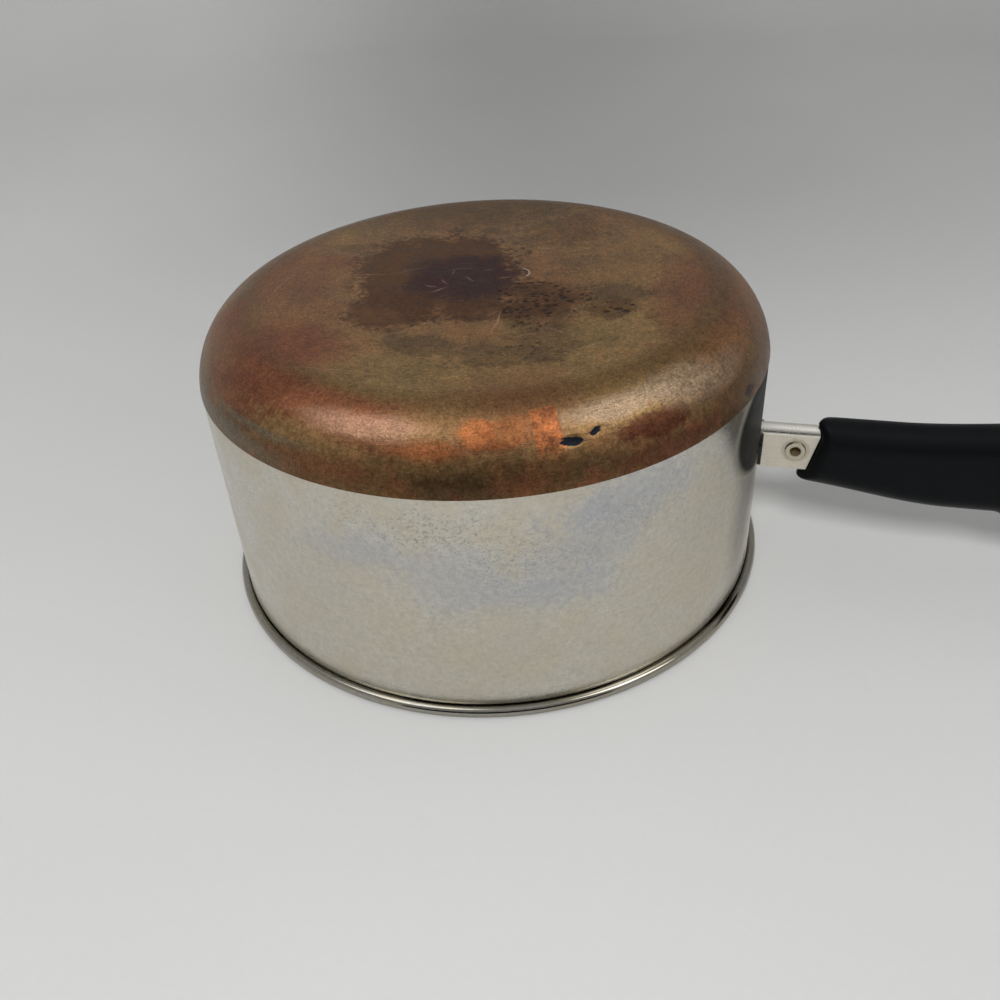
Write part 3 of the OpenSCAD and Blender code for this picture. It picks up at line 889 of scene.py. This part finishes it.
def grip_sections(half, front, tail):
    """Sections from the grip's leaning, dished front to its rounded tail."""
    span = tail - front
    body_start, body_end = front + FRONT_R, tail - TAIL_R
    slant = math.tan(math.radians(FRONT_LEAN))

    def lean(x):
        return slant * (1 - ease((x - front) / (0.3 * span)))

    def dish(x):
        return FRONT_DISH * (1 - ease((x - front) / (0.12 * span)))

    sections = []
    for k in range(10):
        into = FRONT_R * (1 - math.cos(math.radians(9 * k)))
        x = front + into
        inset = round_inset(FRONT_EDGE_R, into)
        sections.append(grip_section(x, half - round_inset(FRONT_R, into), grip_foot(x) + inset,
                                     grip_top(x) - inset, lean(x), dish(x)))
    for k in range(111):
        x = body_start + (body_end - body_start) * k / 110
        sections.append(grip_section(x, half, grip_foot(x), grip_top(x), lean(x), dish(x)))
    for k in range(1, 25):
        turn = math.radians(84 * k / 24)
        x = body_end + TAIL_R * math.sin(turn) / math.sin(math.radians(84))
        middle = (grip_top(x) + grip_foot(x)) / 2
        deep = (grip_top(x) - grip_foot(x)) / 2 * math.cos(turn)
        wide = half * math.sqrt(max(0.02, 1 - max(0.0, (x - tail + half) / half) ** 2))
        sections.append(grip_section(x, min(wide, deep), middle - deep, middle + deep, 0, 0))
    return sections


def hang_hole_cutter(half, hang_x):
    """A pin across the grip with a flare at each face."""
    hang_z = (grip_top(hang_x) + grip_foot(hang_x)) / 2
    reach = half + 1
    hole = lathe("hole_cutter", [(0.0, -reach), (HANG_R + 2, -reach), (HANG_R + 1, -half),
                                 (HANG_R, 1 - half), (HANG_R, half - 1), (HANG_R + 1, half),
                                 (HANG_R + 2, reach), (0.0, reach)], 64)
    hole.data.transform(Matrix.Translation((hang_x * MM, 0, hang_z * MM))
                        @ Matrix.Rotation(math.pi / 2, 4, "X"))
    return hole


def pocket_cutter():
    """The bracket's outline with its full-round fold, a little larger all round."""
    slot_top = BRACKET_HIGH.z - BRACKET_SLOT + POCKET_GAP
    outline = arc(0.0, slot_top, BRACKET_SLOT, 0, 180, 18)
    outline += [(-BRACKET_SLOT, BRACKET_LOW.z - POCKET_GAP), (BRACKET_SLOT, BRACKET_LOW.z - POCKET_GAP)]
    return loft("pocket_cutter", [[(x, y, z) for y, z in outline]
                                  for x in (WALL + 5, BRACKET_HIGH.x + POCKET_GAP)])


def cut_away(piece, cutter):
    """Cuts one mesh out of another for good and removes the cutter."""
    cut = piece.modifiers.new("cut", "BOOLEAN")
    cut.operation, cut.solver, cut.object = "DIFFERENCE", "EXACT", cutter
    bpy.context.view_layer.update()
    shaped = bpy.data.meshes.new_from_object(
        piece.evaluated_get(bpy.context.evaluated_depsgraph_get()))
    piece.modifiers.clear()
    piece.data = shaped
    bpy.data.objects.remove(cutter)


def build_grip(material):
    half = GRIP_HALF_W
    front, tail = WALL + GRIP_START, WALL + GRIP_REACH
    grip = loft("grip_body", [s[::-1] for s in grip_sections(half, front, tail)], 50)
    cut_away(grip, hang_hole_cutter(half, tail - HANG_BACK))
    cut_away(grip, pocket_cutter())
    grip.data.polygons.foreach_set("use_smooth", [True] * len(grip.data.polygons))
    grip.data.set_sharp_from_angle(angle=math.radians(40))
    place(grip, material, "grip")


CAD_FINISHES = (("handle_bracket", "bracket_steel", srgb(222, 214, 200), 0.25),
                ("bracket_rivet", "rivet_steel", srgb(205, 198, 180), 0.25),
                ("handle_tang", "tang_steel", srgb(180, 180, 178), 0.35))


def finish_cad_nodes():
    """The bracket, the rivet and the tang keep their CAD shape and get steel of their own."""
    for node, name, tone, rough in CAD_FINISHES:
        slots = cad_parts[node].data.materials
        slots.clear()
        slots.append(plain_steel(name, tone, rough))


# ---------- stage ----------

FLOOR_TONE = srgb(232, 232, 231)
CARD_TONE = srgb(30, 29, 28)
FLOOR_R, COVE_R, BACKDROP_H = 900.0, 500.0, 1500.0
# Painted shade on the paper behind the pan.
BACK_PAINTED_SHADE = 0.40                             # how much darker the paper gets behind the pan
CARD = SimpleNamespace(half_width=700, y=-900, low=20, high=460)


def build_floor():
    """Pale paper that curves up all round, with painted shade: darker towards the back and lighter at its
    left.
    """
    profile = [(0.0, 0.0)] + line((0.0, 0.0), (FLOOR_R, 0.0), 12)
    profile += arc(FLOOR_R, COVE_R, COVE_R, -90, 0, 24)[1:]
    profile += [(FLOOR_R + COVE_R, BACKDROP_H)]
    floor = lathe("studio_floor", profile, 96, smooth_below=80)
    paint = Paint("studio_paper")
    fibre = paint.noise(3, detail=4, seed=51)
    cloud = paint.noise(260, detail=2, seed=52)
    x, y, _ = paint.split(paint.where)
    # Painted light falloff: the paper is painted darker behind the pan and lighter at its left.
    painted_falloff = paint.times(paint.step(y, -100, 420), paint.step(x, -350, 60, 0.1, 1.0),
                       paint.step(x, 420, 40, 0.6, 1.0), paint.step(y, 1300, 500, 0.85, 1.0), BACK_PAINTED_SHADE)
    colour = paint.shade(FLOOR_TONE, paint.step(fibre, 0.2, 0.8, 0.985, 1.0),
                         paint.step(cloud, 0.3, 0.7, 0.97, 1.0), paint.minus(1.0, painted_falloff))
    floor.data.materials.append(paint.finish(Base_Color=colour, Roughness=0.85))


def build_card():
    """A dark card in front, which only reflections show."""
    corners = [(-CARD.half_width, CARD.y, CARD.low), (CARD.half_width, CARD.y, CARD.low),
               (CARD.half_width, CARD.y, CARD.high), (-CARD.half_width, CARD.y, CARD.high)]
    card = add_mesh("dark_card", corners, [(0, 1, 2, 3)])
    card.matrix_world = Matrix.Rotation(HANDLE_TURN, 4, "Z")
    card.visible_camera = False
    paint = Paint("card_black")
    weave = paint.noise(4, detail=3, seed=53)
    colour = paint.shade(CARD_TONE, paint.step(weave, 0.2, 0.8, 0.8, 1.2))
    card.data.materials.append(paint.finish(Base_Color=colour, Roughness=0.8))


HORIZON_AIR = 0.24
ZENITH_AIR = 0.52


def add_light(name, place_at, look_at, size, power):
    """Area lamp: place, aim and size in metres, the viewer at -Y, and power in watts."""
    data = bpy.data.lights.new(name, "AREA")
    data.shape = "RECTANGLE"
    data.size, data.size_y = size
    data.energy = power
    lamp = bpy.data.objects.new(name, data)
    turned = Matrix.Rotation(HANDLE_TURN, 3, "Z")
    spot, aim = turned @ Vector(place_at), turned @ Vector(look_at)
    lamp.location = spot
    lamp.rotation_euler = (aim - spot).to_track_quat("-Z", "Y").to_euler()
    bpy.context.scene.collection.objects.link(lamp)
    return lamp


def build_lights():
    """A front lamp for the floor and two softboxes for the metals, in a soft brighter-above room."""
    left = add_light("left_softbox", (-0.46, -0.16, 1.15), (0, 0, 0.1), (0.6, 0.6), 2.1)
    right = add_light("right_softbox", (0.66, -0.36, 1.05), (0, 0, 0.1), (0.5, 0.6), 3.0)
    left.visible_diffuse = False
    right.visible_diffuse = False
    front = add_light("front_lamp", (-0.10, -0.95, 1.05), (0, 0, 0.05), (0.3, 0.3), 9.9)
    front.visible_glossy = False
    world = bpy.data.worlds.new("studio_air")
    world.use_nodes = True
    tree = world.node_tree
    coords = tree.nodes.new("ShaderNodeTexCoord")
    parts = tree.nodes.new("ShaderNodeSeparateXYZ")
    rise = tree.nodes.new("ShaderNodeMapRange")
    rise.inputs["To Min"].default_value = HORIZON_AIR
    rise.inputs["To Max"].default_value = ZENITH_AIR
    tree.links.new(coords.outputs["Generated"], parts.inputs[0])
    tree.links.new(parts.outputs[2], rise.inputs["Value"])
    air = tree.nodes["Background"]
    air.inputs["Color"].default_value = (0.99, 0.995, 1.0, 1)
    tree.links.new(rise.outputs[0], air.inputs["Strength"])
    bpy.context.scene.world = world


CAMERA_DISTANCE = 0.3973
CAMERA_DIP = math.radians(36.32)
CAMERA_ROLL = math.radians(-3.90)
CAMERA_AIM = (0.0020, 0.0, 0.0132)
CAMERA_LENS = 35.42


def build_camera():
    data = bpy.data.cameras.new("view")
    data.lens = CAMERA_LENS
    data.sensor_width = 36
    data.clip_start, data.clip_end = 0.01, 20
    camera = bpy.data.objects.new("view", data)
    to_row = Matrix.Rotation(HANDLE_TURN, 4, "Z")
    stance = to_row @ Matrix.Translation(CAMERA_AIM)
    stance = stance @ Matrix.Rotation(math.pi / 2 - CAMERA_DIP, 4, "X")
    stance = stance @ Matrix.Rotation(CAMERA_ROLL, 4, "Z")
    stance = stance @ Matrix.Translation((0, 0, CAMERA_DISTANCE))
    camera.matrix_world = stance
    bpy.context.scene.collection.objects.link(camera)
    bpy.context.scene.camera = camera


bpy.context.scene.view_settings.view_transform = "Standard"
build_shell(steel_material())
build_copper(copper_material())
finish_cad_nodes()
build_grip(plastic_material())
build_floor()
build_card()
build_lights()
build_camera()
